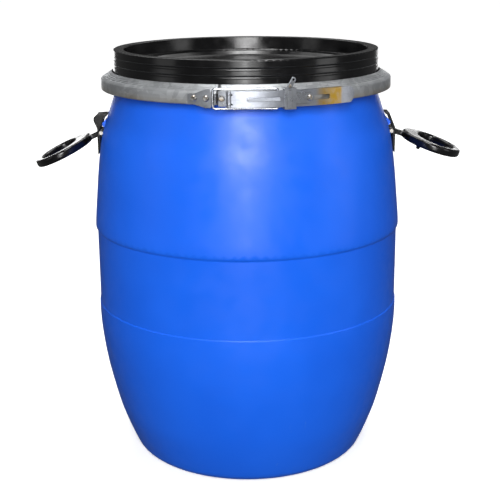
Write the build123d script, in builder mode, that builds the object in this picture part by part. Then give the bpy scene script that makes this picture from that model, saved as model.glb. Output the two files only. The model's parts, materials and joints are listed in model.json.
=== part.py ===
from build123d import *
import os
from math import asin, cos, degrees, radians, sin

os.makedirs("parts", exist_ok=True)

# ---------------------------------------------------------------- driving dimensions, millimetres
# The drum's axis is Z, its base stands on Z = 0, the latch faces -Y and the handles are on +X and -X.

# drum body
WALL = 3.0
FOOT_RADIUS = 137.0
FOOT_INNER_RADIUS = 118.0
BASE_RISE = 6.0
HEEL_RADIUS = 20.0
HEEL_SWEEP = 65.0
LOWER_WALL = [(165, 35), (174, 60), (182, 90), (189.6, 125), (194.7, 160), (197, 190)]
LABEL_LOW_Z = 208.0
LABEL_HIGH_Z = 304.0
LABEL_RADIUS = 196.0
LABEL_STEP_LOW = 1.0
LABEL_STEP_HIGH = 2.2
UPPER_WALL = [(196.7, 330), (194, 360), (189.5, 400), (183.7, 430), (175.1, 455), (170.1, 470)]
NECK_RADIUS = 168.0
NECK_Z = 479.0
MOUTH_RADIUS = 165.0
BEAD_RADIUS = 178.5
BEAD_CORNER = 2.0
BEAD_LOW_Z = 485.8
RIM_Z = 492.0

# lid
LID_TOP_Z = 532.6
COLLAR_RADIUS = 168.2
COLLAR_TOP_RADIUS = 167.5
LIP_WIDTH = 13.1
LID_WALL = 3.0
RECESS_DRAFT = 1.4
PANEL_Z = 515.0
PANEL_CENTRE_RADIUS = 130.0
PANEL_STEP = 4.0
PANEL_CORNER = 3.0
LIP_CORNER = 1.5
SKIRT_RADIUS = 182.0
SKIRT_WALL = 2.9
SKIRT_LOW_Z = 489.0
PLUG_RADIUS = 164.2
PLUG_LOW_Z = 478.0
GASKET_HEIGHT = 3.0
GROOVE_DEPTH = 0.8
GROOVE_HALF = 2.2
GROOVE_HEIGHTS = (522.3, 513.3)
COLLAR_RIBS = 24
COLLAR_RIB_WIDTH = 2.0

# clamp ring
RING_RADIUS = 184.0
RING_SHEET = 1.2
RING_LOW_Z = 484.0
RING_BAND_TOP_Z = 497.0
RING_TOP_Z = 506.0
RING_TOP_RADIUS = 169.8
RING_LOW_RADIUS = 172.5
RING_GAP_X = (-32.7, -32.1)

# latch, laid out by distance right of the front centre line
LATCH_Z = 491.5
PLATE_SHEET = 1.5
PLATE_INNER = RING_RADIUS + 0.1
PLATE_OUTER = PLATE_INNER + PLATE_SHEET
PLATE_LOW_Z = 484.6
PLATE_HIGH_Z = 496.5
HOOK_FLARE_HEIGHT = 21.0
HOOK_FLARE_X = (-59.0, -39.5)
HOOK_WALL_HALF = 6.0
HOOK_PLATE_X = (-66.0, -33.0)
HOOK_WALL_RADIUS = 191.4
HOOK_RIVET_X = (-58.8, -44.8)
HINGE_PLATE_X = (-31.2, 22.0)
HINGE_RIVET_X = (-27.2, 13.5)
HINGE_HEAD_END_X = -15.5
HINGE_HEAD_HALF = 8.5
PIN_X = -19.0
PIN_DISTANCE = 189.34
PIN_RADIUS = 2.0
KNUCKLE_RADIUS = 3.4
EAR_RADIUS = 3.2
EAR_OFFSET = 5.25
EAR_SHEET = 1.5
RIVET_RADIUS = 2.4
RIVET_HEAD_RADIUS = 3.7
RIVET_HEAD_HEIGHT = 1.6
RIVET_HEAD_TAPER = 38
RIVET_HEAD_GAP = 0.06
LEVER_HALF_HEIGHT = 9.25
LEVER_SHEET = 1.5
LEVER_INNER = 190.0
LEVER_OUTER = LEVER_INNER + LEVER_SHEET
LEVER_FLANGE_INNER = 184.9
LEVER_TIP_X = 126.0
LEVER_FLANGE_X = (-14.0, 114.0)
LEVER_RIB_X = (0.7, 40.0)
LEVER_RIB_HALF = 2.6
LEVER_RIB_HEIGHT = 1.4
WIRE_RADIUS = 1.4
WIRE_OFFSET = LEVER_HALF_HEIGHT + WIRE_RADIUS + 0.4
WIRE_BEND = 3.0
WIRE_END_BEND = 1.8
BAIL_HOOK_X = -37.4
BAIL_PIVOT_X = 35.4
BAIL_DISTANCE = 188.0
RUNNING_GAP = 0.05
CATCH_X = (43.0, 56.0)
CATCH_SHEET = 1.3
CATCH_INNER = 192.1
CATCH_GAP = 1.2
CATCH_RIVET_X = 71.0
CATCH_TRAVEL = 7.3
CATCH_RIVET_COLLAR = 4.2
CATCH_RIVET_HEAD_HEIGHT = 1.9
CATCH_LIP = 2.4
CATCH_RIB_HEIGHT = 1.3
CATCH_NUB_X = 63.5
CATCH_NUB_RADIUS = 2.2
TONGUE_HALF_HEIGHT = 5.5
SEAL_X = 48.5
SEAL_Z = 505.95
SEAL_RIVET_RADIUS = 1.2
SEAL_EAR_RADIUS = 3.0
SEAL_RIVET_BACK_RADIUS = 2.2
SEAL_RIVET_HEAD_RADIUS = 2.1
SEAL_RIVET_HEAD_HEIGHT = 0.8
SEAL_SHEET = 1.2
SEAL_TILT = 30.0
SEAL_LENGTH = 8.0
SEAL_HALF_WIDTH = 2.8
SEAL_HOLE_RADIUS = 1.3

# handles
PIVOT_X = 186.8
PIVOT_Z = 425.5
HANDLE_DROPS = {"right": 18.5, "left": 25.0}
HANDLE_PIN_RADIUS = 3.0
HANDLE_PIN_HALF = 12.0
EYE_RADIUS = 5.2
EYE_HALF = 5.8
GRIP_START = 17.0
GRIP_END = 94.0
GRIP_HALF_WIDTH = 55.0
GRIP_HOLE_START = 38.0
GRIP_HOLE_END = 83.0
GRIP_BAR = 11.0
GRIP_HEIGHT = 10.0
NECK_HEIGHT = 6.5
WEB_START = 15.0
WEB_END = 28.0
WEB_HALF = 21.0
NUB_PLACE = (34.0, -40.0)
NUB_RADIUS = 2.4
NUB_HEIGHT = 3.5
BRACKET_HALF_WIDTH = 13.5
BRACKET_WINDOW_HALF = 6.4
BRACKET_WINDOW_Z = (402.5, 444.5)
BRACKET_FACE_X = 191.6
BRACKET_LOW_Z = 397.5
BRACKET_TOP_Z = 449.6
BRACKET_FOOT = [(191.0, BRACKET_LOW_Z), (BRACKET_FACE_X, BRACKET_LOW_Z + 1.5)]
BRACKET_PLAIN_TOP = [(BRACKET_FACE_X, 429.5), (183.4, BRACKET_TOP_Z)]
BRACKET_FLARED_TOP = [(BRACKET_FACE_X, 431.5), (195.8, 441.0), (195.6, 445.5),
                      (192.0, BRACKET_TOP_Z - 0.4), (184.0, BRACKET_TOP_Z)]
BRACKET_BACK = [(177.9, BRACKET_TOP_Z), (178.9, 446.9), (182.0, 446.6), (188.5, 429.5),
                (188.5, 413.5), (188.8, 406.0), (190.4, BRACKET_LOW_Z + 0.4)]
PIN_PRESS_GAP = 0.02
BOSS_RADIUS = 4.8
BOSS_END = 11.0
FLAT_X = 181.0
FLAT_HALF_WIDTH = 17.0
FLAT_LOW_Z = 414.0
FLAT_HIGH_Z = 440.0
LUG_HALF_WIDTH = 11.0
LUG_OUTLINE = [(179.0, 432.6), (183.4, 433.2), (184.8, 435.0), (184.8, 438.0),
               (181.8, 441.5), (178.0, 442.5)]


# ---------------------------------------------------------------- helpers
def front_angle(x, distance):
    """Degrees right of the front centre line, for a point that far right and that far from the axis."""
    return degrees(asin(x / distance))


def upright_plane(angle):
    """The upright plane through the drum's axis, turned that many degrees right of the front."""
    a = radians(angle - 90)
    return Plane(origin=(0, 0, 0), x_dir=(cos(a), sin(a), 0), z_dir=(sin(a), -cos(a), 0))


def facing_plane(angle, distance, height=LATCH_Z):
    """A plane that faces outward from the drum: its X runs right round the drum and its Y runs up."""
    a = radians(angle - 90)
    origin = (distance * cos(a), distance * sin(a), height)
    return Plane(origin=origin, x_dir=(-sin(a), cos(a), 0), z_dir=(cos(a), sin(a), 0))


def shell_section(inner, outer, low, high, angle):
    """The upright rectangle that a curved latch plate is turned from."""
    with BuildSketch(upright_plane(angle)) as section:
        with Locations(((inner + outer) / 2, (low + high) / 2)):
            Rectangle(outer - inner, high - low)
    return section.sketch


def side_profile(inset):
    """Draws the drum's side from the heel to the neck, set in by that much."""
    heel = CenterArc((FOOT_RADIUS, HEEL_RADIUS), HEEL_RADIUS - inset, -90, HEEL_SWEEP)
    low_step = (LABEL_RADIUS + LABEL_STEP_LOW - inset, LABEL_LOW_Z - 1.5)
    high_step = (LABEL_RADIUS + LABEL_STEP_HIGH - inset, LABEL_HIGH_Z + 4.5)
    lower = [(r - inset, z) for r, z in LOWER_WALL]
    upper = [(r - inset, z) for r, z in UPPER_WALL]
    Spline(heel @ 1, *lower, low_step, tangents=(heel % 1, (-0.02, 1)))
    label_low = (LABEL_RADIUS - inset, LABEL_LOW_Z)
    label_high = (LABEL_RADIUS - inset, LABEL_HIGH_Z)
    Polyline(low_step, label_low, label_high)
    Spline(label_high, high_step, tangents=((0, 1), (0, 1)))
    Spline(high_step, *upper, (NECK_RADIUS - inset, NECK_Z), tangents=((0, 1), (0, 1)))


# ---------------------------------------------------------------- drum body
with BuildPart() as drum_cavity:
    with BuildSketch(Plane.XZ):
        with BuildLine():
            floor_z = BASE_RISE + WALL
            Polyline((0, floor_z), (FOOT_INNER_RADIUS - 8, floor_z), (FOOT_INNER_RADIUS, WALL),
                     (FOOT_RADIUS, WALL))
            side_profile(WALL)
            Polyline((NECK_RADIUS - WALL, NECK_Z), (MOUTH_RADIUS, RIM_Z + 1), (0, RIM_Z + 1), (0, floor_z))
        make_face()
    revolve(axis=Axis.Z)
    # the wall stays whole behind the flats that the handle pins lie in
    for side in (1, -1):
        flat_depth = 30.0
        flat_height = FLAT_HIGH_Z - FLAT_LOW_Z + 2 * WALL
        with Locations((side * (FLAT_X - WALL + flat_depth / 2), 0, (FLAT_LOW_Z + FLAT_HIGH_Z) / 2)):
            Box(flat_depth, 2 * (FLAT_HALF_WIDTH + WALL), flat_height, mode=Mode.SUBTRACT)

with BuildPart() as drum_body:
    with BuildSketch(Plane.XZ):
        with BuildLine():
            Polyline((0, BASE_RISE), (FOOT_INNER_RADIUS - 8, BASE_RISE), (FOOT_INNER_RADIUS, 0),
                     (FOOT_RADIUS, 0))
            side_profile(0)
            neck_top = (NECK_RADIUS + 3, BEAD_LOW_Z)
            Spline((NECK_RADIUS, NECK_Z), neck_top, tangents=((0, 1), (1, 0.4)))
            bead_flat = BEAD_RADIUS - BEAD_CORNER
            bead_start = (BEAD_RADIUS, BEAD_LOW_Z + BEAD_CORNER)
            bead_end = (BEAD_RADIUS, RIM_Z - BEAD_CORNER)
            Polyline(neck_top, (bead_flat, BEAD_LOW_Z))
            TangentArc((bead_flat, BEAD_LOW_Z), bead_start, tangent=(1, 0))
            Line(bead_start, bead_end)
            TangentArc(bead_end, (bead_flat, RIM_Z), tangent=(0, 1))
            Polyline((bead_flat, RIM_Z), (0, RIM_Z), (0, BASE_RISE))
        make_face()
    revolve(axis=Axis.Z)
    for side in (1, -1):
        with Locations((side * (FLAT_X + 20), 0, (FLAT_LOW_Z + FLAT_HIGH_Z) / 2)):
            Box(40, 2 * FLAT_HALF_WIDTH, FLAT_HIGH_Z - FLAT_LOW_Z, mode=Mode.SUBTRACT)
    # the lug that each handle bracket hangs on
    for side in (1, -1):
        with BuildSketch(Plane.XZ.offset(-LUG_HALF_WIDTH)):
            with BuildLine():
                Polyline(*[(side * x, z) for x, z in LUG_OUTLINE], close=True)
            make_face()
        extrude(amount=2 * LUG_HALF_WIDTH)
    add(drum_cavity.part, mode=Mode.SUBTRACT)
drum_body.part.label = "drum_body"
export_step(drum_body.part, "parts/drum_body.step")

# ---------------------------------------------------------------- lid
collar_slope = (COLLAR_RADIUS - COLLAR_TOP_RADIUS) / (LID_TOP_Z - RING_TOP_Z)
flange_rise = (RING_TOP_Z - RING_BAND_TOP_Z) / (RING_RADIUS - RING_TOP_RADIUS)
inner_wall_radius = COLLAR_TOP_RADIUS - LIP_WIDTH
recess_foot = inner_wall_radius - RECESS_DRAFT


def collar_radius(z):
    """The outside radius of the lid's collar at a height."""
    return COLLAR_TOP_RADIUS + (LID_TOP_Z - z) * collar_slope


with BuildPart() as lid:
    with BuildSketch(Plane.XZ):
        with BuildLine():
            recess_radius = inner_wall_radius + LID_WALL
            roof_z = RIM_Z + GASKET_HEIGHT
            skirt_inner = SKIRT_RADIUS - SKIRT_WALL
            flange_in_z = RING_TOP_Z - 1.9
            flange_out_z = flange_in_z - (SKIRT_RADIUS - COLLAR_RADIUS) * flange_rise
            panel_under_z = PANEL_Z - LID_WALL
            lip_under_z = LID_TOP_Z - 3.5
            Polyline((0, PANEL_Z - PANEL_STEP), (PANEL_CENTRE_RADIUS, PANEL_Z - PANEL_STEP),
                     (PANEL_CENTRE_RADIUS + 5, PANEL_Z), (recess_foot - PANEL_CORNER, PANEL_Z))
            wall_start = (recess_foot, PANEL_Z + PANEL_CORNER)
            lip_z = LID_TOP_Z - LIP_CORNER
            lip_in, lip_out = inner_wall_radius + LIP_CORNER, COLLAR_TOP_RADIUS - LIP_CORNER
            RadiusArc((recess_foot - PANEL_CORNER, PANEL_Z), wall_start, -PANEL_CORNER)
            Line(wall_start, (inner_wall_radius, lip_z))
            RadiusArc((inner_wall_radius, lip_z), (lip_in, LID_TOP_Z), LIP_CORNER)
            Line((lip_in, LID_TOP_Z), (lip_out, LID_TOP_Z))
            start = (collar_radius(lip_z), lip_z)
            RadiusArc((lip_out, LID_TOP_Z), start, LIP_CORNER)
            for groove_z in GROOVE_HEIGHTS:
                top = (collar_radius(groove_z + GROOVE_HALF), groove_z + GROOVE_HALF)
                deep = (collar_radius(groove_z) - GROOVE_DEPTH, groove_z)
                low = (collar_radius(groove_z - GROOVE_HALF), groove_z - GROOVE_HALF)
                Line(start, top)
                ThreePointArc(top, deep, low)
                start = low
            Polyline(start, (COLLAR_RADIUS, flange_in_z), (SKIRT_RADIUS, flange_out_z),
                     (SKIRT_RADIUS, SKIRT_LOW_Z), (skirt_inner, SKIRT_LOW_Z), (skirt_inner, roof_z),
                     (PLUG_RADIUS, roof_z), (PLUG_RADIUS, PLUG_LOW_Z + 2), (PLUG_RADIUS - 1.5, PLUG_LOW_Z),
                     (PLUG_RADIUS - LID_WALL, PLUG_LOW_Z), (PLUG_RADIUS - LID_WALL, roof_z + 3),
                     (COLLAR_RADIUS - LID_WALL - 1, roof_z + 8),
                     (COLLAR_TOP_RADIUS - LID_WALL - 1, lip_under_z), (recess_radius, lip_under_z),
                     (recess_radius, panel_under_z), (PANEL_CENTRE_RADIUS + 5, panel_under_z),
                     (PANEL_CENTRE_RADIUS, panel_under_z - PANEL_STEP), (0, panel_under_z - PANEL_STEP),
                     (0, PANEL_Z - PANEL_STEP))
        make_face()
    revolve(axis=Axis.Z)
    # stiffening ribs inside the hollow collar
    rib_length = COLLAR_TOP_RADIUS - LID_WALL - recess_radius
    rib_height = LID_TOP_Z - 3.0 - (PANEL_Z - LID_WALL)
    rib_z = PANEL_Z - LID_WALL + rib_height / 2
    with Locations((0, 0, rib_z)):
        with PolarLocations(recess_radius + rib_length / 2 - 0.2, COLLAR_RIBS):
            Box(rib_length, COLLAR_RIB_WIDTH, rib_height)
lid.part.label = "lid"
export_step(lid.part, "parts/lid.step")

with BuildPart() as lid_gasket:
    with BuildSketch(Plane.XZ):
        with Locations(((MOUTH_RADIUS + skirt_inner + 3.2) / 2, RIM_Z + GASKET_HEIGHT / 2)):
            Rectangle(skirt_inner - MOUTH_RADIUS - 3.8, GASKET_HEIGHT - 0.1)
    revolve(axis=Axis.Z)
lid_gasket.part.label = "lid_gasket"
export_step(lid_gasket.part, "parts/lid_gasket.step")

# ---------------------------------------------------------------- clamp ring
gap_start = front_angle(RING_GAP_X[0], RING_RADIUS)
gap_end = front_angle(RING_GAP_X[1], RING_RADIUS)
rivet_angles = [front_angle(x, RING_RADIUS) for x in HOOK_RIVET_X + HINGE_RIVET_X]

with BuildPart() as clamp_ring:
    with BuildSketch(upright_plane(gap_end)):
        with BuildLine():
            Polyline((RING_TOP_RADIUS, RING_TOP_Z), (RING_RADIUS, RING_BAND_TOP_Z),
                     (RING_RADIUS, RING_LOW_Z), (RING_LOW_RADIUS, RING_LOW_Z))
            offset(amount=RING_SHEET, side=Side.RIGHT, kind=Kind.INTERSECTION)
        make_face()
    revolve(axis=Axis.Z, revolution_arc=360 - (gap_end - gap_start))
    for angle in rivet_angles:
        with BuildSketch(facing_plane(angle, RING_RADIUS)):
            Circle(RIVET_RADIUS + RUNNING_GAP)
        extrude(amount=4, both=True, mode=Mode.SUBTRACT)
clamp_ring.part.label = "clamp_ring"
export_step(clamp_ring.part, "parts/clamp_ring.step")

# ---------------------------------------------------------------- latch plates on the band
def plate_angles(x_range, distance=PLATE_OUTER):
    """The angles of a curved plate's two ends."""
    return front_angle(x_range[0], distance), front_angle(x_range[1], distance)


def rivet_group(name, x_places, head_base):
    """Domed rivets through the band, all in one node."""
    with BuildPart() as rivets:
        for x in x_places:
            angle = front_angle(x, RING_RADIUS)
            shank_start = RING_RADIUS - RING_SHEET - 0.1
            with BuildSketch(facing_plane(angle, shank_start)):
                Circle(RIVET_RADIUS)
            extrude(amount=head_base + 0.3 - shank_start)
            with BuildSketch(facing_plane(angle, head_base)):
                Circle(RIVET_HEAD_RADIUS)
            extrude(amount=RIVET_HEAD_HEIGHT, taper=RIVET_HEAD_TAPER)
    rivets.part.label = name
    export_step(rivets.part, "parts/" + name + ".step")


hook_start, hook_end = plate_angles(HOOK_PLATE_X)
flare_high = LATCH_Z + HOOK_FLARE_HEIGHT / 2
flare_low = LATCH_Z - HOOK_FLARE_HEIGHT / 2
with BuildPart() as hook_bracket:
    revolve(shell_section(PLATE_INNER, PLATE_OUTER, flare_low, flare_high, hook_start),
            axis=Axis.Z, revolution_arc=hook_end - hook_start)
    # outline seen from the front: a low tail, flared up and down towards the bail
    with BuildSketch(Plane.XZ.offset(PLATE_INNER - 30)):
        with BuildLine():
            FilletPolyline((HOOK_PLATE_X[0] - 1, PLATE_LOW_Z), (HOOK_FLARE_X[0], PLATE_LOW_Z),
                           (HOOK_FLARE_X[1] - 6, flare_low), (HOOK_FLARE_X[1], flare_low),
                           (HOOK_FLARE_X[1], PLATE_LOW_Z), (HOOK_PLATE_X[1] + 1, PLATE_LOW_Z),
                           (HOOK_PLATE_X[1] + 1, PLATE_HIGH_Z), (HOOK_FLARE_X[1], PLATE_HIGH_Z),
                           (HOOK_FLARE_X[1], flare_high), (HOOK_FLARE_X[1] - 6, flare_high),
                           (HOOK_FLARE_X[0], PLATE_HIGH_Z), (HOOK_PLATE_X[0] - 1, PLATE_HIGH_Z),
                           radius=1.2, close=True)
        make_face()
    extrude(amount=60, mode=Mode.INTERSECT)
    # upright wall that the bail pulls against
    wall_arc = degrees(PLATE_SHEET / PLATE_OUTER)
    revolve(shell_section(PLATE_INNER, HOOK_WALL_RADIUS, LATCH_Z - HOOK_WALL_HALF,
                          LATCH_Z + HOOK_WALL_HALF, hook_end - wall_arc),
            axis=Axis.Z, revolution_arc=wall_arc)
    for x in HOOK_RIVET_X:
        with BuildSketch(facing_plane(front_angle(x, RING_RADIUS), RING_RADIUS)):
            Circle(RIVET_RADIUS + RUNNING_GAP)
        extrude(amount=4, mode=Mode.SUBTRACT)
hook_bracket.part.label = "hook_bracket"
export_step(hook_bracket.part, "parts/hook_bracket.step")
rivet_group("hook_bracket_rivets", HOOK_RIVET_X, PLATE_OUTER + RIVET_HEAD_GAP)

pin_angle = front_angle(PIN_X, PIN_DISTANCE)
pin_plane = facing_plane(pin_angle, PIN_DISTANCE)
pin_x, pin_y = pin_plane.origin.X, pin_plane.origin.Y
hinge_start, hinge_end = plate_angles(HINGE_PLATE_X)
with BuildPart() as hinge_bracket:
    revolve(shell_section(PLATE_INNER, PLATE_OUTER, PLATE_LOW_Z, PLATE_HIGH_Z, hinge_start),
            axis=Axis.Z, revolution_arc=hinge_end - hinge_start)
    # taller head between the bail's two wires
    head_end = front_angle(HINGE_HEAD_END_X, PLATE_OUTER)
    revolve(shell_section(PLATE_INNER, PLATE_OUTER, LATCH_Z - HINGE_HEAD_HALF,
                          LATCH_Z + HINGE_HEAD_HALF, hinge_start),
            axis=Axis.Z, revolution_arc=head_end - hinge_start)
    # two ears, above and below, that carry the lever's pin
    for ear_z in (LATCH_Z - EAR_OFFSET, LATCH_Z + EAR_OFFSET):
        ear_plane = Plane(origin=(pin_x, pin_y, ear_z - EAR_SHEET / 2),
                          x_dir=pin_plane.x_dir, z_dir=(0, 0, 1))
        with BuildSketch(ear_plane):
            Circle(EAR_RADIUS)
            with Locations((0, (PIN_DISTANCE - PLATE_INNER - 0.5) / 2)):
                Rectangle(2 * EAR_RADIUS, PIN_DISTANCE - PLATE_INNER - 0.5)
            Circle(PIN_RADIUS + RUNNING_GAP, mode=Mode.SUBTRACT)
        extrude(amount=EAR_SHEET)
    for x in HINGE_RIVET_X:
        with BuildSketch(facing_plane(front_angle(x, RING_RADIUS), RING_RADIUS)):
            Circle(RIVET_RADIUS + RUNNING_GAP)
        extrude(amount=4, mode=Mode.SUBTRACT)
hinge_bracket.part.label = "hinge_bracket"
export_step(hinge_bracket.part, "parts/hinge_bracket.step")
rivet_group("hinge_bracket_rivets", HINGE_RIVET_X, PLATE_OUTER + RIVET_HEAD_GAP)

with BuildPart() as lever_pin:
    with BuildSketch(Plane((pin_x, pin_y, LATCH_Z - LEVER_HALF_HEIGHT - 0.1))):
        Circle(PIN_RADIUS)
    extrude(amount=2 * LEVER_HALF_HEIGHT + 0.2)
lever_pin.part.label = "lever_pin"
export_step(lever_pin.part, "parts/lever_pin.step")

# ---------------------------------------------------------------- lever
lever_low = LATCH_Z - LEVER_HALF_HEIGHT
lever_high = LATCH_Z + LEVER_HALF_HEIGHT
lever_start = pin_angle
lever_end = front_angle(LEVER_TIP_X, LEVER_OUTER)
flange_start, flange_end = plate_angles(LEVER_FLANGE_X, LEVER_OUTER)
slot_start = front_angle(CATCH_RIVET_X, LEVER_OUTER)
slot_half = RIVET_RADIUS + 0.3
tip_angle = lever_end - degrees(LEVER_HALF_HEIGHT / LEVER_OUTER)

with BuildPart() as latch_lever:
    revolve(shell_section(LEVER_INNER, LEVER_OUTER, lever_low, lever_high, lever_start),
            axis=Axis.Z, revolution_arc=lever_end - lever_start)
    for low, high in ((lever_low, lever_low + LEVER_SHEET), (lever_high - LEVER_SHEET, lever_high)):
        revolve(shell_section(LEVER_FLANGE_INNER, LEVER_INNER + 0.5, low, high, flange_start),
                axis=Axis.Z, revolution_arc=flange_end - flange_start)
    # knuckle rolled round the pin
    with BuildSketch(Plane((pin_x, pin_y, lever_low))):
        Circle(KNUCKLE_RADIUS)
    extrude(amount=2 * LEVER_HALF_HEIGHT)
    # long rib pressed outward
    rib_start, rib_end = plate_angles(LEVER_RIB_X, LEVER_OUTER)
    rib_length = LEVER_RIB_X[1] - LEVER_RIB_X[0]
    with BuildSketch(facing_plane((rib_start + rib_end) / 2, LEVER_INNER)):
        SlotOverall(rib_length, 2 * LEVER_RIB_HALF)
    extrude(amount=LEVER_SHEET + LEVER_RIB_HEIGHT, taper=12)
    # rounded free end
    with BuildSketch(facing_plane(tip_angle, LEVER_FLANGE_INNER - 2)):
        with Locations((LEVER_HALF_HEIGHT, 0)):
            Rectangle(2 * LEVER_HALF_HEIGHT, 3 * LEVER_HALF_HEIGHT)
        Ellipse(LEVER_HALF_HEIGHT * 0.8, LEVER_HALF_HEIGHT, mode=Mode.SUBTRACT)
    extrude(amount=12, mode=Mode.SUBTRACT)
    # slots that the bracket's ears pass through
    for ear_z in (LATCH_Z - EAR_OFFSET, LATCH_Z + EAR_OFFSET):
        with BuildSketch(Plane((pin_x, pin_y, ear_z - EAR_SHEET / 2 - 0.3))):
            Circle(EAR_RADIUS + 1.6)
        extrude(amount=EAR_SHEET + 0.6, mode=Mode.SUBTRACT)
    with BuildSketch(Plane((pin_x, pin_y, lever_low - 1))):
        Circle(PIN_RADIUS + RUNNING_GAP)
    extrude(amount=2 * LEVER_HALF_HEIGHT + 2, mode=Mode.SUBTRACT)
    # slot for the catch's rivet, rounded at both ends
    slot_end = slot_start + CATCH_TRAVEL
    revolve(shell_section(LEVER_INNER - 1, LEVER_OUTER + 1, LATCH_Z - slot_half,
                          LATCH_Z + slot_half, slot_start),
            axis=Axis.Z, revolution_arc=CATCH_TRAVEL, mode=Mode.SUBTRACT)
    for angle in (slot_start, slot_end):
        with BuildSketch(facing_plane(angle, LEVER_INNER - 1)):
            Circle(slot_half)
        extrude(amount=4, mode=Mode.SUBTRACT)
    # holes for the bail's ends
    bail_angle = front_angle(BAIL_PIVOT_X, BAIL_DISTANCE)
    bail_plane = facing_plane(bail_angle, BAIL_DISTANCE, lever_low - 1)
    bail_pivot = bail_plane.origin
    with BuildSketch(Plane((bail_pivot.X, bail_pivot.Y, lever_low - 1))):
        Circle(WIRE_RADIUS + RUNNING_GAP)
    extrude(amount=2 * LEVER_HALF_HEIGHT + 2, mode=Mode.SUBTRACT)
latch_lever.part.label = "latch_lever"
export_step(latch_lever.part, "parts/latch_lever.step")

# ---------------------------------------------------------------- wire bail
hook_plane = facing_plane(front_angle(BAIL_HOOK_X, BAIL_DISTANCE), BAIL_DISTANCE)
hook_place = hook_plane.origin
wire_low = LATCH_Z - WIRE_OFFSET
wire_high = LATCH_Z + WIRE_OFFSET
stub = LEVER_HALF_HEIGHT - 3.4
with BuildPart() as wire_bail:
    with BuildLine():
        near, far = (bail_pivot.X, bail_pivot.Y), (hook_place.X, hook_place.Y)
        FilletPolyline((*near, LATCH_Z - stub), (*near, wire_low), (*far, wire_low),
                       (*far, wire_high), (*near, wire_high), (*near, LATCH_Z + stub),
                       radius=[WIRE_END_BEND, WIRE_BEND, WIRE_BEND, WIRE_END_BEND])
    with BuildSketch(Plane((bail_pivot.X, bail_pivot.Y, LATCH_Z - stub), z_dir=(0, 0, -1))):
        Circle(WIRE_RADIUS)
    sweep()
wire_bail.part.label = "wire_bail"
export_step(wire_bail.part, "parts/wire_bail.step")

# ---------------------------------------------------------------- safety catch and seal
catch_start, catch_end = plate_angles(CATCH_X, CATCH_INNER)
catch_outer = CATCH_INNER + CATCH_SHEET
catch_low = lever_low - CATCH_GAP
catch_high = lever_high + CATCH_GAP
catch_arc = catch_end - catch_start
lip_outer = LEVER_FLANGE_INNER - 0.3
rivet_angle = front_angle(CATCH_RIVET_X, LEVER_OUTER)
seal_angle = front_angle(SEAL_X, CATCH_INNER)

with BuildPart() as safety_catch:
    # folded sleeve: front, top and bottom, and two short lips behind the lever
    sleeve_low, sleeve_high = catch_low - CATCH_SHEET, catch_high + CATCH_SHEET
    revolve(shell_section(CATCH_INNER, catch_outer, sleeve_low, sleeve_high, catch_start),
            axis=Axis.Z, revolution_arc=catch_arc)
    for low, high, lip_low, lip_high in (
            (sleeve_low, catch_low, sleeve_low, catch_low + CATCH_LIP),
            (catch_high, sleeve_high, catch_high - CATCH_LIP, sleeve_high)):
        revolve(shell_section(lip_outer - CATCH_SHEET, CATCH_INNER + 0.5, low, high, catch_start),
                axis=Axis.Z, revolution_arc=catch_arc)
        revolve(shell_section(lip_outer - CATCH_SHEET, lip_outer, lip_low, lip_high, catch_start),
                axis=Axis.Z, revolution_arc=catch_arc)
    # raised rib folded down the sleeve's front
    revolve(shell_section(CATCH_INNER + 0.2, catch_outer + CATCH_RIB_HEIGHT, catch_low + 0.4,
                          catch_high - 1.4, catch_start + 0.25 * catch_arc),
            axis=Axis.Z, revolution_arc=0.35 * catch_arc)
    # tongue to the rivet
    tongue_arc = rivet_angle - catch_end
    revolve(shell_section(CATCH_INNER, catch_outer, LATCH_Z - TONGUE_HALF_HEIGHT,
                          LATCH_Z + TONGUE_HALF_HEIGHT, catch_end - 0.3),
            axis=Axis.Z, revolution_arc=tongue_arc + 0.3)
    with BuildSketch(facing_plane(rivet_angle, CATCH_INNER)):
        Circle(TONGUE_HALF_HEIGHT)
    extrude(amount=CATCH_SHEET)
    # nub on the tongue's upper edge
    nub_angle = front_angle(CATCH_NUB_X, CATCH_INNER)
    with BuildSketch(facing_plane(nub_angle, CATCH_INNER, LATCH_Z + TONGUE_HALF_HEIGHT)):
        Circle(CATCH_NUB_RADIUS)
    extrude(amount=CATCH_SHEET)
    # ear that carries the seal tab
    with BuildSketch(facing_plane(seal_angle, CATCH_INNER, SEAL_Z)):
        Circle(SEAL_EAR_RADIUS)
        with Locations((0, -SEAL_EAR_RADIUS / 2)):
            Rectangle(2 * SEAL_EAR_RADIUS, SEAL_EAR_RADIUS)
    extrude(amount=CATCH_SHEET)
    with BuildSketch(facing_plane(rivet_angle, CATCH_INNER - 1)):
        Circle(RIVET_RADIUS + RUNNING_GAP)
    extrude(amount=4, mode=Mode.SUBTRACT)
    with BuildSketch(facing_plane(seal_angle, CATCH_INNER - 1, SEAL_Z)):
        Circle(SEAL_RIVET_RADIUS + RUNNING_GAP)
    extrude(amount=6, mode=Mode.SUBTRACT)
safety_catch.part.label = "safety_catch"
export_step(safety_catch.part, "parts/safety_catch.step")

with BuildPart() as catch_rivet:
    with BuildSketch(facing_plane(rivet_angle, LEVER_INNER - 2.6)):
        Circle(CATCH_RIVET_COLLAR)
    extrude(amount=2.2)
    with BuildSketch(facing_plane(rivet_angle, LEVER_INNER - 1)):
        Circle(RIVET_RADIUS)
    extrude(amount=catch_outer + 0.5 - LEVER_INNER + 1)
    with BuildSketch(facing_plane(rivet_angle, catch_outer + RIVET_HEAD_GAP)):
        Circle(RIVET_HEAD_RADIUS)
    extrude(amount=CATCH_RIVET_HEAD_HEIGHT, taper=RIVET_HEAD_TAPER)
catch_rivet.part.label = "catch_rivet"
export_step(catch_rivet.part, "parts/catch_rivet.step")

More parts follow.
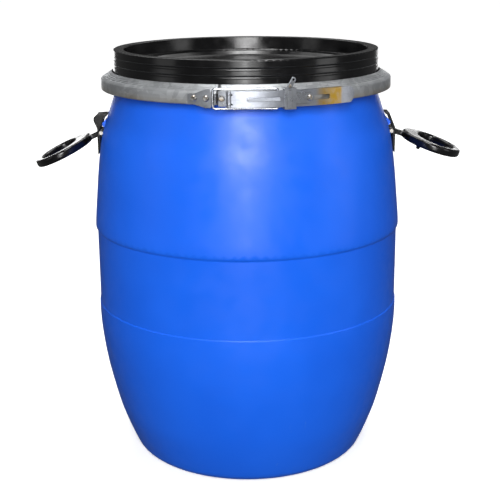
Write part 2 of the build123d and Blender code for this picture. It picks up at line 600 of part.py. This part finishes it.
tab_base = catch_outer + 0.25
with BuildPart() as seal_tab:
    tab_plane = facing_plane(seal_angle, tab_base, SEAL_Z)
    tilt = radians(90 - SEAL_TILT)
    eye = (SEAL_LENGTH * cos(tilt), SEAL_LENGTH * sin(tilt))
    with BuildSketch(tab_plane):
        SlotCenterPoint((eye[0] / 2, eye[1] / 2), eye, 2 * SEAL_HALF_WIDTH)
        Circle(SEAL_RIVET_RADIUS + RUNNING_GAP, mode=Mode.SUBTRACT)
        with Locations(eye):
            Circle(SEAL_HOLE_RADIUS, mode=Mode.SUBTRACT)
    extrude(amount=SEAL_SHEET)
seal_tab.part.label = "seal_tab"
export_step(seal_tab.part, "parts/seal_tab.step")

with BuildPart() as seal_tab_rivet:
    with BuildSketch(facing_plane(seal_angle, CATCH_INNER - 0.9, SEAL_Z)):
        Circle(SEAL_RIVET_BACK_RADIUS)
    extrude(amount=SEAL_RIVET_HEAD_HEIGHT)
    with BuildSketch(facing_plane(seal_angle, CATCH_INNER - 0.2, SEAL_Z)):
        Circle(SEAL_RIVET_RADIUS)
    extrude(amount=tab_base + SEAL_SHEET + 0.4 - CATCH_INNER)
    with BuildSketch(facing_plane(seal_angle, tab_base + SEAL_SHEET + 0.15, SEAL_Z)):
        Circle(SEAL_RIVET_HEAD_RADIUS)
    extrude(amount=SEAL_RIVET_HEAD_HEIGHT, taper=30)
seal_tab_rivet.part.label = "seal_tab_rivet"
export_step(seal_tab_rivet.part, "parts/seal_tab_rivet.step")

# ---------------------------------------------------------------- handles, brackets and pivot pins
for side, name in ((1, "right"), (-1, "left")):
    drop = radians(HANDLE_DROPS[name])
    grip_plane = Plane(origin=(side * PIVOT_X, 0, PIVOT_Z), x_dir=(side * cos(drop), 0, -sin(drop)),
                       z_dir=(side * sin(drop), 0, cos(drop)))
    pin_side = Plane(origin=(side * PIVOT_X, 0, PIVOT_Z), x_dir=(1, 0, 0), z_dir=(0, 1, 0))

    with BuildPart() as handle:
        grip_centre = (GRIP_START + GRIP_END) / 2
        hole_centre = (GRIP_HOLE_START + GRIP_HOLE_END) / 2
        with BuildSketch(grip_plane.offset(-GRIP_HEIGHT / 2)):
            with Locations((grip_centre, 0)):
                Ellipse((GRIP_END - GRIP_START) / 2, GRIP_HALF_WIDTH)
            with Locations((hole_centre, 0)):
                Ellipse((GRIP_HOLE_END - GRIP_HOLE_START) / 2, GRIP_HALF_WIDTH - GRIP_BAR,
                        mode=Mode.SUBTRACT)
        extrude(amount=GRIP_HEIGHT)
        fillet(handle.edges(), radius=3.0)
        # the right-hand grip has a moulding nub under its near side
        if side > 0:
            with BuildSketch(grip_plane.offset(-GRIP_HEIGHT / 2 - NUB_HEIGHT)):
                with Locations(NUB_PLACE):
                    Circle(NUB_RADIUS)
            extrude(amount=NUB_HEIGHT + 2)
        # neck from the eye into the grip
        with BuildSketch(grip_plane.offset(-NECK_HEIGHT / 2)):
            with BuildLine():
                Polyline((0, -EYE_HALF), (WEB_START, -EYE_HALF), (WEB_END, -WEB_HALF), (WEB_END, WEB_HALF),
                         (WEB_START, EYE_HALF), (0, EYE_HALF), close=True)
            make_face()
        extrude(amount=NECK_HEIGHT)
        # eye round the pivot pin
        with BuildSketch(pin_side.offset(-EYE_HALF)):
            Circle(EYE_RADIUS)
        extrude(amount=2 * EYE_HALF)
        with BuildSketch(pin_side.offset(-EYE_HALF - 1)):
            Circle(HANDLE_PIN_RADIUS + RUNNING_GAP)
        extrude(amount=2 * EYE_HALF + 2, mode=Mode.SUBTRACT)
    handle.part.label = "handle_" + name
    export_step(handle.part, "parts/handle_" + name + ".step")

    # side outline of the bracket; the left one's top is flared outward
    outline = BRACKET_FOOT + (BRACKET_PLAIN_TOP if side > 0 else BRACKET_FLARED_TOP) + BRACKET_BACK
    with BuildPart() as bracket:
        with BuildSketch(Plane.XZ.offset(-BRACKET_HALF_WIDTH)):
            with BuildLine():
                Polyline(*[(side * x, z) for x, z in outline], close=True)
            make_face()
        extrude(amount=2 * BRACKET_HALF_WIDTH)
        # bosses that hold the pin's two ends
        for start in (-BOSS_END, BRACKET_WINDOW_HALF):
            with BuildSketch(pin_side.offset(start)):
                Circle(BOSS_RADIUS)
            extrude(amount=BOSS_END - BRACKET_WINDOW_HALF)
        window_low, window_high = BRACKET_WINDOW_Z
        with Locations((side * PIVOT_X, 0, (window_low + window_high) / 2)):
            Box(40, 2 * BRACKET_WINDOW_HALF, window_high - window_low, mode=Mode.SUBTRACT)
        with BuildSketch(pin_side.offset(-HANDLE_PIN_HALF - 3)):
            Circle(HANDLE_PIN_RADIUS + PIN_PRESS_GAP)
        extrude(amount=2 * HANDLE_PIN_HALF + 6, mode=Mode.SUBTRACT)
    bracket.part.label = "handle_bracket_" + name
    export_step(bracket.part, "parts/handle_bracket_" + name + ".step")

    with BuildPart() as handle_pin:
        with BuildSketch(pin_side.offset(-HANDLE_PIN_HALF)):
            Circle(HANDLE_PIN_RADIUS)
        extrude(amount=2 * HANDLE_PIN_HALF)
        chamfer(handle_pin.edges(), length=0.6)
    handle_pin.part.label = "handle_pin_" + name
    export_step(handle_pin.part, "parts/handle_pin_" + name + ".step")
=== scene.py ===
import json
from math import asin, cos, pi, radians, sin

import bmesh
import bpy
from mathutils import Matrix, Vector


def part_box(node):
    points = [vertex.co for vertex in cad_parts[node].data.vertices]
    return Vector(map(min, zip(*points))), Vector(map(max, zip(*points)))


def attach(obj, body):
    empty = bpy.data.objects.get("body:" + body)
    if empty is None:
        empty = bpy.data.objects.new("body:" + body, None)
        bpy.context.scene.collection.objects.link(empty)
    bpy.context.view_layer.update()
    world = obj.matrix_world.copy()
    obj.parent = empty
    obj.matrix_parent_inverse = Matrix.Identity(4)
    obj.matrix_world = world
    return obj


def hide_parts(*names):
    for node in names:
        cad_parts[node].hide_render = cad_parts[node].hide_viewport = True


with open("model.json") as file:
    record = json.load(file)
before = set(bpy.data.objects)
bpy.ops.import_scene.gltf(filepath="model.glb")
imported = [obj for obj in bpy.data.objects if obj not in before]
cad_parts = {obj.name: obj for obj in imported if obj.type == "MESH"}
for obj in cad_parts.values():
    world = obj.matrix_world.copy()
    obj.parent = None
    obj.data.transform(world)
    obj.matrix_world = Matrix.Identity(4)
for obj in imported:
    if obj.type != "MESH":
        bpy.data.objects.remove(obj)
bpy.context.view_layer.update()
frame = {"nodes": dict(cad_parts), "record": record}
nodes = frame["nodes"]

MM = 0.001


# ---------------------------------------------------------------- material builder
class Shader:
    """One procedural material. Its coordinates are the object's own, in metres."""

    def __init__(self, name, colour, metallic=0.0, specular=0.5):
        self.material = bpy.data.materials.new(name)
        self.material.use_nodes = True
        self.material.diffuse_color = (*colour, 1)
        self.tree = self.material.node_tree
        self.bsdf = self.tree.nodes["Principled BSDF"]
        self.bsdf.inputs["Base Color"].default_value = (*colour, 1)
        self.bsdf.inputs["Metallic"].default_value = metallic
        self.bsdf.inputs["Specular IOR Level"].default_value = specular
        self.place = self.tree.nodes.new("ShaderNodeTexCoord").outputs["Object"]
        self.height = None

    def link(self, a, b):
        self.tree.links.new(a, b)

    def stretched(self, scale):
        """The coordinates scaled by three factors, so that a pattern runs in lines."""
        mapping = self.tree.nodes.new("ShaderNodeMapping")
        mapping.inputs["Scale"].default_value = scale
        self.link(self.place, mapping.inputs["Vector"])
        return mapping.outputs["Vector"]

    def noise(self, scale, detail=3.0, place=None, roughness=0.5):
        node = self.tree.nodes.new("ShaderNodeTexNoise")
        node.inputs["Scale"].default_value = scale
        node.inputs["Detail"].default_value = detail
        node.inputs["Roughness"].default_value = roughness
        self.link(place or self.place, node.inputs["Vector"])
        return node.outputs["Fac"]

    def cells(self, scale):
        node = self.tree.nodes.new("ShaderNodeTexVoronoi")
        node.inputs["Scale"].default_value = scale
        self.link(self.place, node.inputs["Vector"])
        grey = self.tree.nodes.new("ShaderNodeRGBToBW")
        self.link(node.outputs["Color"], grey.inputs["Color"])
        return grey.outputs["Val"]

    def remap(self, value, low, high, to_low=0.0, to_high=1.0):
        node = self.tree.nodes.new("ShaderNodeMapRange")
        node.interpolation_type = "SMOOTHSTEP"
        limits = {"From Min": low, "From Max": high, "To Min": to_low, "To Max": to_high}
        for key, number in limits.items():
            node.inputs[key].default_value = number
        self.link(value, node.inputs["Value"])
        return node.outputs["Result"]

    def axis(self, letter):
        node = self.tree.nodes.new("ShaderNodeSeparateXYZ")
        self.link(self.place, node.inputs["Vector"])
        return node.outputs[letter]

    def times(self, a, b):
        node = self.tree.nodes.new("ShaderNodeMath")
        node.operation = "MULTIPLY"
        for socket, value in zip(node.inputs, (a, b)):
            if isinstance(value, (int, float)):
                socket.default_value = value
            else:
                self.link(value, socket)
        return node.outputs["Value"]

    def mix(self, factor, a, b):
        """Colour a where factor is 0 and colour b where it is 1. Each is three numbers or a socket."""
        node = self.tree.nodes.new("ShaderNodeMix")
        node.data_type = "RGBA"
        self.link(factor, node.inputs["Factor"])
        for socket, colour in ((node.inputs[6], a), (node.inputs[7], b)):
            if isinstance(colour, tuple):
                socket.default_value = (*colour, 1)
            else:
                self.link(colour, socket)
        return node.outputs[2]

    def painted_crease_shade(self, base, shade_colour, reach):
        """Painted shade: the colour darkens where surfaces closer than reach, in metres, face each
        other.
        """
        node = self.tree.nodes.new("ShaderNodeAmbientOcclusion")
        node.samples = 8
        node.inputs["Distance"].default_value = reach
        painted_shade_amount = self.remap(node.outputs["AO"], 0.35, 0.85, 0.8, 0.0)
        return self.mix(painted_shade_amount, base, shade_colour)

    def colour(self, socket):
        self.link(socket, self.bsdf.inputs["Base Color"])

    def roughness(self, value, low, high):
        self.link(self.remap(value, 0.3, 0.7, low, high), self.bsdf.inputs["Roughness"])

    def bump(self, value, depth, strength=1.0):
        """Adds a layer of relief that deep, in metres."""
        node = self.tree.nodes.new("ShaderNodeBump")
        node.inputs["Strength"].default_value = strength
        node.inputs["Distance"].default_value = depth
        self.link(value, node.inputs["Height"])
        if self.height:
            self.link(self.height, node.inputs["Normal"])
        self.height = node.outputs["Normal"]
        self.link(self.height, self.bsdf.inputs["Normal"])


# ---------------------------------------------------------------- materials
def blue_polyethylene():
    s = Shader("blue_polyethylene", (0.008, 0.135, 0.88), specular=0.42)
    patches = s.remap(s.noise(9, 2), 0.35, 0.65)
    body = s.mix(patches, (0.007, 0.129, 0.85), (0.009, 0.141, 0.90))
    # faint pale scuffs, mostly upright, where drums rub on each other
    scuffs = s.remap(s.noise(60, 6, s.stretched((3.0, 3.0, 0.5))), 0.66, 0.78, 0.0, 0.35)
    worn_places = s.remap(s.noise(4, 2), 0.52, 0.68)
    s.colour(s.mix(s.times(scuffs, worn_places), body, (0.10, 0.24, 0.80)))
    s.roughness(s.noise(45, 4), 0.33, 0.47)
    s.bump(s.noise(28, 2), 0.0006, 0.35)
    s.bump(s.noise(1400, 3), 0.00006, 0.6)
    return s.material


def black_polyethylene(name, level, rough_low, rough_high):
    s = Shader(name, (level, level, level * 1.15), specular=0.5)
    bloom = s.remap(s.noise(22, 4), 0.45, 0.75)
    dark = (level, level, level * 1.12)
    pale = (level * 1.9, level * 1.9, level * 2.1)
    dust = s.remap(s.noise(420, 4), 0.64, 0.74, 0.0, 0.5)
    s.colour(s.mix(dust, s.mix(bloom, dark, pale), (level * 3.2, level * 3.1, level * 3.0)))
    s.roughness(s.noise(70, 4), rough_low, rough_high)
    s.bump(s.noise(18, 1), 0.0003, 0.2)
    s.bump(s.noise(1100, 3), 0.00004, 0.4)
    return s.material


def foam():
    s = Shader("gasket_foam", (0.05, 0.05, 0.05), specular=0.2)
    s.colour(s.mix(s.remap(s.cells(900), 0.3, 0.7), (0.04, 0.04, 0.04), (0.075, 0.075, 0.078)))
    s.roughness(s.noise(300), 0.8, 0.95)
    s.bump(s.cells(900), 0.0003)
    return s.material


ROLLED_LINES = (4.0, 4.0, 900.0)
# colour of the painted shade in the creases of the steel parts
CREASE_SHADE_COLOUR = (0.05, 0.048, 0.045)
CREASE_REACH = 3 * MM


def sheet_steel(name, dark, light, rough_low, rough_high, spangle):
    """Zinc-coated sheet: faint crystals, and fine lines left by the rollers along the strip."""
    s = Shader(name, light, metallic=0.8)
    lines = s.noise(1.0, 3, s.stretched(ROLLED_LINES), roughness=0.65)
    crystals = s.cells(spangle)
    base = s.mix(s.remap(crystals, 0.25, 0.75), dark, light)
    shade = tuple(0.72 * c for c in dark)
    base = s.mix(s.remap(lines, 0.55, 0.75, 0.0, 0.55), base, shade)
    # painted shade: the colour darkens in the creases between parts
    base = s.painted_crease_shade(base, CREASE_SHADE_COLOUR, CREASE_REACH)
    s.roughness(s.noise(90, 3), rough_low, rough_high)
    s.bump(lines, 0.00002, 0.3)
    s.bump(s.noise(60, 2), 0.0001, 0.12)
    return s, base


BAND_CRYSTALS = 150.0
FINE_CRYSTALS = 420.0
BAND_DIRT_Z = (0.4845, 0.4935)
GOLD_STARTS_X = (0.077, 0.087)
GOLD_ENDS_X = (0.107, 0.111)


def galvanised_band():
    s, base = sheet_steel("galvanised_band", (0.50, 0.52, 0.54), (0.62, 0.64, 0.66), 0.34, 0.46,
                          BAND_CRYSTALS)
    # handling dirt gathers in the band's lower half
    low_band = s.remap(s.axis("Z"), *BAND_DIRT_Z, 1.0, 0.0)
    grime = s.times(low_band, s.remap(s.noise(55, 5), 0.35, 0.7, 0.25, 0.75))
    s.colour(s.mix(grime, base, (0.42, 0.36, 0.27)))
    return s.material


def bright_zinc(name, rough_low, rough_high):
    s, base = sheet_steel(name, (0.40, 0.42, 0.46), (0.45, 0.47, 0.51), rough_low, rough_high,
                          FINE_CRYSTALS)
    spots = s.remap(s.noise(320, 5), 0.64, 0.78, 0.0, 0.35)
    s.colour(s.mix(spots, base, (0.44, 0.40, 0.33)))
    return s.material


def yellowed_lever():
    """Bright zinc with a patchy golden stain towards the lever's free end."""
    s, base = sheet_steel("yellowed_zinc", (0.38, 0.40, 0.45), (0.43, 0.45, 0.50), 0.28, 0.34,
                          FINE_CRYSTALS)
    along = s.axis("X")
    starts = s.remap(along, *GOLD_STARTS_X)
    ends = s.remap(along, *GOLD_ENDS_X, 1.0, 0.0)
    patchy = s.remap(s.noise(120, 4), 0.3, 0.7, 0.6, 1.0)
    gold = s.times(s.times(starts, ends), patchy)
    s.colour(s.mix(gold, base, (0.50, 0.30, 0.03)))
    return s.material


def rivet_steel(name, brown):
    s = Shader(name, (0.7, 0.68, 0.64), metallic=1.0)
    stain = s.remap(s.noise(260, 4), 0.40, 0.64, 0.0, brown)
    s.colour(s.mix(stain, (0.74, 0.73, 0.70), (0.42, 0.29, 0.16)))
    s.roughness(s.noise(500, 3), 0.24, 0.42)
    s.bump(s.noise(800, 3), 0.00006, 0.6)
    return s.material


BLACK_LEVEL = 0.0028
MATERIALS = {
    "blue_plastic": blue_polyethylene(),
    "black_plastic": black_polyethylene("black_polyethylene", BLACK_LEVEL, 0.15, 0.25),
    "handle_plastic": black_polyethylene("black_handle_plastic", BLACK_LEVEL, 0.16, 0.28),
    "gasket_foam": foam(),
    "galvanised_band": galvanised_band(),
    "zinc_steel": bright_zinc("bright_zinc", 0.26, 0.34),
    "lever_steel": yellowed_lever(),
    "wire_steel": bright_zinc("bright_wire", 0.2, 0.28),
    "rivet_steel": rivet_steel("rivet_steel", 0.6),
    "pin_steel": rivet_steel("pin_steel", 0.25),
}
SLOTS = {p["node"]: p["material_slot"] for p in frame["record"]["subparts"]}


def paint(obj, slot):
    obj.data.materials.clear()
    obj.data.materials.append(MATERIALS[slot])


for node, obj in nodes.items():
    paint(obj, SLOTS[node])


# ---------------------------------------------------------------- finer meshes on the CAD's shapes
WELD_DISTANCE = 2e-6
SHARP_EDGE = radians(32)
SHEET_EDGE = 0.25 * MM
RIVET_EDGE = 0.4 * MM
GRIP_VOXEL = 0.8 * MM
GRIP_RELAX = 8
BRACKET_VOXEL = 0.45 * MM
BRACKET_RELAX = 5


def weld_seams(obj):
    """Joins the points that the CAD mesh repeats along the edges of its faces."""
    weld = obj.modifiers.new("weld", "WELD")
    weld.merge_threshold = WELD_DISTANCE


def own_normals_off(mesh):
    """Drops the file's stored normals, so that a modifier's new faces are shaded by their own shape."""
    stored = mesh.attributes.get("custom_normal")
    if stored:
        mesh.attributes.remove(stored)
    for face in mesh.polygons:
        face.use_smooth = True


def soften_edges(node, width):
    """Sheet-metal pieces keep their CAD mesh, with every sharp edge rounded off by that much."""
    obj = nodes[node]
    own_normals_off(obj.data)
    weld_seams(obj)
    bevel = obj.modifiers.new("bevel", "BEVEL")
    bevel.width = width
    bevel.segments = 2
    bevel.limit_method = "ANGLE"
    bevel.angle_limit = SHARP_EDGE
    bevel.use_clamp_overlap = True
    obj.modifiers.new("normals", "WEIGHTED_NORMAL")


for node in ("hook_bracket", "hinge_bracket", "latch_lever", "safety_catch", "seal_tab"):
    soften_edges(node, SHEET_EDGE)
for node in ("hook_bracket_rivets", "hinge_bracket_rivets", "catch_rivet", "seal_tab_rivet"):
    soften_edges(node, RIVET_EDGE)


def new_object(name, mesh, body, slot):
    obj = bpy.data.objects.new(name, mesh)
    bpy.context.scene.collection.objects.link(obj)
    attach(obj, body)
    paint(obj, slot)
    return obj


def moulded(node, name, body, voxel, rounds):
    """A moulding has no sharp inside corners: the CAD shape is remeshed and its edges flow together."""
    mesh = nodes[node].data.copy()
    obj = new_object(name, mesh, body, SLOTS[node])
    weld_seams(obj)
    remesh = obj.modifiers.new("remesh", "REMESH")
    remesh.mode = "VOXEL"
    remesh.voxel_size = voxel
    remesh.use_smooth_shade = True
    relax = obj.modifiers.new("relax", "SMOOTH")
    relax.factor = 0.5
    relax.iterations = rounds
    bpy.context.view_layer.update()
    graph = bpy.context.evaluated_depsgraph_get()
    final = bpy.data.meshes.new_from_object(obj.evaluated_get(graph))
    obj.modifiers.clear()
    obj.data = final
    for face in final.polygons:
        face.use_smooth = True
    paint(obj, SLOTS[node])
    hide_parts(node)


for side in ("left", "right"):
    grip = "handle_" + side
    moulded(grip, "handle_moulding_" + side, grip, GRIP_VOXEL, GRIP_RELAX)
    moulded("handle_bracket_" + side, "bracket_moulding_" + side, "drum", BRACKET_VOXEL, BRACKET_RELAX)


# ---------------------------------------------------------------- clamp ring with its fine grooves
ring_low, ring_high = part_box("clamp_ring")
RING_RADIUS = ring_high.x
SHEET = 1.1 * MM
FLANGE_IN = 169.8 * MM
SHOULDER_Z = 497 * MM
LOWER_IN = 172.5 * MM
SHOULDER_BEND = 1.6 * MM
LOWER_BEND = 1.3 * MM
FLANGE_STEPS = 60
BEND_STEPS = 6
WALL_STEPS = 7
LIP_STEPS = 5
GROOVES = (0.28, 0.44, 0.60)
GROOVE_DEPTH = 0.6 * MM
GROOVE_WIDTH = 0.055
GAP_X = (-32.7 * MM, -32.1 * MM)
TURN_STEPS = 420


def front_place(radius, angle, z):
    """A point that far from the axis, at that angle in radians right of the front."""
    return Vector((radius * sin(angle), -radius * cos(angle), z))


def ring_profile():
    """The sheet's outer face, from the flange's inner edge over the shoulder to the lower lip."""
    points = []
    start = Vector((FLANGE_IN + 0.4 * MM, ring_high.z - 0.2 * MM))
    end = Vector((RING_RADIUS, SHOULDER_Z))
    along = (end - start).normalized()
    inward = Vector((along.y, -along.x))
    bend_share = SHOULDER_BEND / (end - start).length
    for i in range(FLANGE_STEPS + 1):
        t = i / FLANGE_STEPS * (1 - bend_share)
        dip = sum(max(0.0, 1 - ((t - g) / GROOVE_WIDTH) ** 2) for g in GROOVES)
        p = start + (end - start) * t - Vector((abs(inward.x), abs(inward.y))) * dip * GROOVE_DEPTH
        points.append(p)
    # rounded shoulder
    corner, before, after = end, points[-1], Vector((RING_RADIUS, SHOULDER_Z - SHOULDER_BEND))
    for i in range(1, BEND_STEPS + 1):
        t = i / BEND_STEPS
        points.append(before * (1 - t) ** 2 + corner * 2 * t * (1 - t) + after * t * t)
    # upright wall, rounded lower corner and lower lip
    low = ring_low.z
    bend_x, bend_z = RING_RADIUS - LOWER_BEND, low + LOWER_BEND
    for i in range(1, WALL_STEPS + 1):
        points.append(Vector((RING_RADIUS, after.y + (bend_z - after.y) * i / WALL_STEPS)))
    for i in range(1, BEND_STEPS + 1):
        a = i / BEND_STEPS * pi / 2
        points.append(Vector((bend_x + LOWER_BEND * cos(a), bend_z - LOWER_BEND * sin(a))))
    for i in range(1, LIP_STEPS + 1):
        points.append(Vector((bend_x + (LOWER_IN - bend_x) * i / LIP_STEPS, low)))
    return points


def build_ring():
    profile = ring_profile()
    first = asin(GAP_X[1] / RING_RADIUS)
    last = asin(GAP_X[0] / RING_RADIUS) + 2 * pi
    mesh = bpy.data.meshes.new("clamp_band")
    bm = bmesh.new()
    columns = []
    for step in range(TURN_STEPS + 1):
        angle = first + (last - first) * step / TURN_STEPS
        columns.append([bm.verts.new(front_place(p.x, angle, p.y)) for p in profile])
    for a, b in zip(columns, columns[1:]):
        for i in range(len(profile) - 1):
            bm.faces.new((a[i], a[i + 1], b[i + 1], b[i]))
    bmesh.ops.recalc_face_normals(bm, faces=bm.faces)
    bm.to_mesh(mesh)
    bm.free()
    for face in mesh.polygons:
        face.use_smooth = True
    # a face near the profile's middle shows which side the normals are on
    sample = mesh.polygons[len(profile) // 2 + 10]
    ring = new_object("clamp_band", mesh, "ring", "galvanised_band")
    thick = ring.modifiers.new("sheet", "SOLIDIFY")
    thick.thickness = SHEET
    face_out = sample.normal.dot(Vector((sample.center.x, sample.center.y, 0))) > 0
    thick.offset = -1.0 if face_out else 1.0
    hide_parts("clamp_ring")


build_ring()

# ---------------------------------------------------------------- floor, light and camera
FLOOR_HALF = 30.0
FLOOR_DROP = 0.5 * MM
FLOOR_GLOW = 0.55
DOME_RADIUS = 25.0
DOME_GLOW = 0.95
WORLD_LIGHT = 0.10

floor_mesh = bpy.data.meshes.new("floor")
corners = [(x * FLOOR_HALF, y * FLOOR_HALF, 0) for x, y in ((-1, -1), (1, -1), (1, 1), (-1, 1))]
floor_mesh.from_pydata(corners, [], [(0, 1, 2, 3)])
floor = bpy.data.objects.new("floor", floor_mesh)
floor.location.z = -FLOOR_DROP
bpy.context.scene.collection.objects.link(floor)
floor_shader = Shader("pale_floor", (0.9, 0.9, 0.9), specular=0.1)
floor_shader.colour(floor_shader.mix(floor_shader.noise(3), (0.89, 0.89, 0.89), (0.91, 0.91, 0.91)))
floor_shader.bsdf.inputs["Roughness"].default_value = 0.9
floor_shader.bsdf.inputs["Emission Color"].default_value = (1, 1, 1, 1)
floor_shader.bsdf.inputs["Emission Strength"].default_value = FLOOR_GLOW
floor_mesh.materials.append(floor_shader.material)
# the floor shows and takes shadows, but throws no light back up at the drum
floor.visible_diffuse = False
floor.visible_glossy = False

# a plain pale dome, so that a low view has no dark sky; it lights nothing
dome_mesh = bpy.data.meshes.new("backdrop")
dome_bm = bmesh.new()
bmesh.ops.create_uvsphere(dome_bm, u_segments=48, v_segments=24, radius=DOME_RADIUS)
dome_bm.to_mesh(dome_mesh)
dome_bm.free()
dome = bpy.data.objects.new("backdrop", dome_mesh)
bpy.context.scene.collection.objects.link(dome)
dome_shader = Shader("pale_backdrop", (0.9, 0.9, 0.9), specular=0.0)
dome_shader.bsdf.inputs["Emission Color"].default_value = (1, 1, 1, 1)
dome_shader.bsdf.inputs["Emission Strength"].default_value = DOME_GLOW
dome_mesh.materials.append(dome_shader.material)
dome.visible_diffuse = False
dome.visible_glossy = False
dome.visible_shadow = False

scene = bpy.context.scene
world = bpy.data.worlds.new("studio")
scene.world = world
world.use_nodes = True
background = world.node_tree.nodes["Background"]
background.inputs["Color"].default_value = (1, 1, 1, 1)
background.inputs["Strength"].default_value = WORLD_LIGHT
scene.view_settings.view_transform = "Standard"
scene.view_settings.look = "None"


def aimed(name, data, place, target):
    obj = bpy.data.objects.new(name, data)
    scene.collection.objects.link(obj)
    obj.location = place
    obj.rotation_euler = (Vector(target) - Vector(place)).to_track_quat("-Z", "Y").to_euler()
    obj.visible_camera = False


def softbox(name, place, target, width, height, radiance):
    """A rectangular light of that brightness, whatever its size."""
    data = bpy.data.lights.new(name, "AREA")
    data.shape = "RECTANGLE"
    data.size = width
    data.size_y = height
    data.energy = radiance * width * height * pi
    aimed(name, data, place, target)


MIDDLE = (0, 0, 0.30)
LEFT_GRIP = (-0.24, 0, 0.4)
RIGHT_GRIP = (0.24, 0, 0.4)
SUN_ENERGY = 1.4
SUN_ANGLE = radians(20)

overhead = bpy.data.lights.new("overhead", "SUN")
overhead.energy = SUN_ENERGY
overhead.angle = SUN_ANGLE
aimed("overhead", overhead, (0, 0, 5), (0, 0, 0))
softbox("front_key", (-0.05, -2.6, 1.4), MIDDLE, 1.1, 1.2, 15.5)
softbox("front_strip", (-0.03, -2.2, 1.25), (-0.03, 0, 1.25), 0.08, 2.2, 12.0)
softbox("low_front_fill", (0.0, -2.6, 0.25), MIDDLE, 1.0, 0.4, 5.0)
softbox("left_fill", (-2.4, -0.9, 0.9), MIDDLE, 0.9, 1.8, 0.7)
softbox("right_fill", (2.4, -0.9, 0.9), MIDDLE, 0.9, 1.8, 1.6)
softbox("back_key", (0.0, 2.0, 2.6), MIDDLE, 2.4, 1.8, 2.2)
# low bright cards behind, that the grips' sloping tops mirror
softbox("card_left", (-1.1, 3.2, 0.35), LEFT_GRIP, 0.9, 0.6, 3.0)
softbox("card_right", (1.1, 3.2, 0.35), RIGHT_GRIP, 0.9, 0.6, 2.0)

CAMERA_PLACE = (0, -1.4054, 0.6584)
CAMERA_PITCH = 15.63
CAMERA_ROLL = 0.0077
SENSOR = 36.0
LENS = 78.64
SHIFT = (0.0056, -0.0012)
VIEW_END = 100.0
camera_data = bpy.data.cameras.new("camera")
camera = bpy.data.objects.new("camera", camera_data)
scene.collection.objects.link(camera)
turn = Matrix.Rotation(radians(90 - CAMERA_PITCH), 4, "X") @ Matrix.Rotation(-CAMERA_ROLL, 4, "Z")
camera.matrix_world = Matrix.Translation(CAMERA_PLACE) @ turn
camera_data.sensor_width = SENSOR
camera_data.lens = LENS
camera_data.shift_x, camera_data.shift_y = SHIFT
camera_data.clip_end = VIEW_END
scene.camera = camera

bpy.context.view_layer.update()
